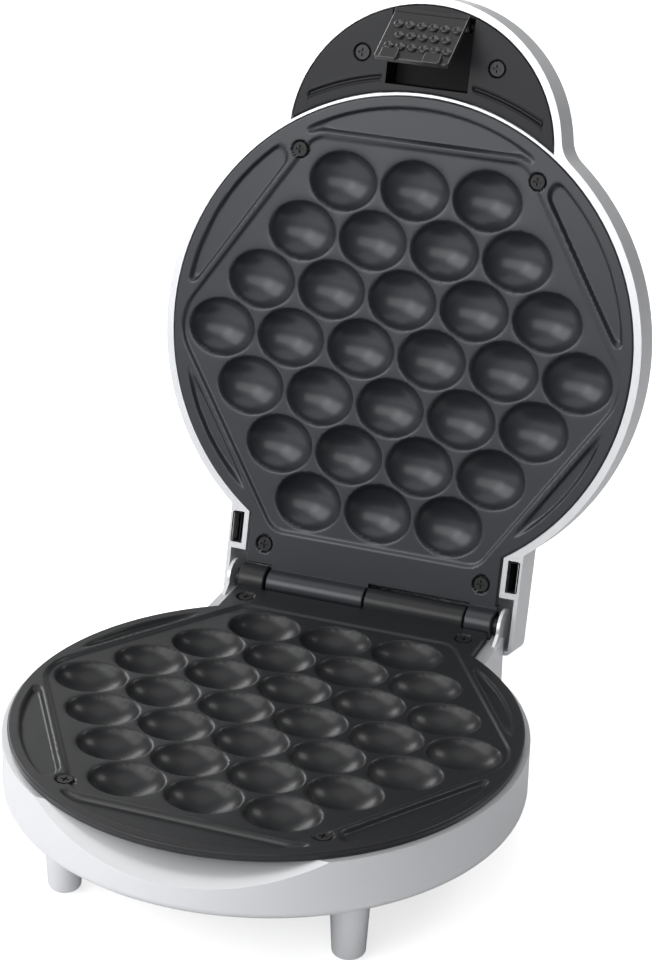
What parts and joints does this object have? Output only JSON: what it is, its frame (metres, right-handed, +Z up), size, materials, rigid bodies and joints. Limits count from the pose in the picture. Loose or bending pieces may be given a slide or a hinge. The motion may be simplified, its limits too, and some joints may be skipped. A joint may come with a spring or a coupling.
{
  "type": "bubble waffle maker",
  "caption": "Round electric bubble waffle maker with hinged cast plates of oval cups, a silver housing, a handle with a folding latch, and short feet; shown open.",
  "frame": {"origin": "on the table plane under the middle of the open maker", "axes": "+X along the hinge, to the right as seen from the front, +Y from the front towards the hinge, +Z up"},
  "size_m": [0.2052, 0.2932, 0.2987],
  "materials": {
    "silver_housing": "satin silver",
    "silver_feet": "satin silver",
    "plate_coating": "satin black non-stick coating",
    "black_plastic": "satin black",
    "latch_plastic": "glossy black",
    "dark_cover": "matte dark grey",
    "dark_steel": "blackened",
    "steel": "bright",
    "heater_tube": "dull",
    "reflector_sheet": "mill finish",
    "thermostat_case": "dull",
    "fuse_case": "dull",
    "terminal_plastic": "off-white",
    "black_rubber": "matte",
    "red_lens": "clear red",
    "green_lens": "clear green",
    "lamp_glass": "clear"
  },
  "bodies": {
    "base": {"base_housing": "silver_housing", "bottom_cover": "dark_cover", "bottom_cover_screws": "steel", "base_plate": "plate_coating", "base_plate_screws": "dark_steel", "base_heater": "heater_tube", "base_reflector": "reflector_sheet", "thermostat": "thermostat_case", "thermal_fuse": "fuse_case", "terminal_block": "terminal_plastic", "cord_gland": "black_rubber", "hinge_pin": "steel", "hinge_clip": "steel", "foot_front_left": "silver_feet", "foot_front_right": "silver_feet", "foot_rear_left": "silver_feet", "foot_rear_right": "silver_feet", "foot_pad_front_left": "black_rubber", "foot_pad_front_right": "black_rubber", "foot_pad_rear_left": "black_rubber", "foot_pad_rear_right": "black_rubber"},
    "lid": {"lid_housing": "silver_housing", "lid_plate": "plate_coating", "lid_plate_screws": "dark_steel", "lid_heater": "heater_tube", "lid_reflector": "reflector_sheet", "lid_thermal_fuse": "fuse_case", "handle_cover": "black_plastic", "handle_cover_screws": "dark_steel", "power_lens": "red_lens", "ready_lens": "green_lens", "power_lamp": "lamp_glass", "ready_lamp": "lamp_glass", "latch_pin": "steel"},
    "latch": {"latch": "latch_plastic"}
  },
  "joints": [
    {"name": "lid_hinge", "type": "hinge", "parent": "base", "child": "lid", "pos_m": [0, 0.06532, 0.056], "axis": [1, 0, 0], "range_deg": [0, 103.7]},
    {"name": "latch_pivot", "type": "hinge", "parent": "lid", "child": "latch", "pos_m": [0, 0.12404, 0.28841], "axis": [1, 0, 0], "range_deg": [0, 49]}
  ]
}
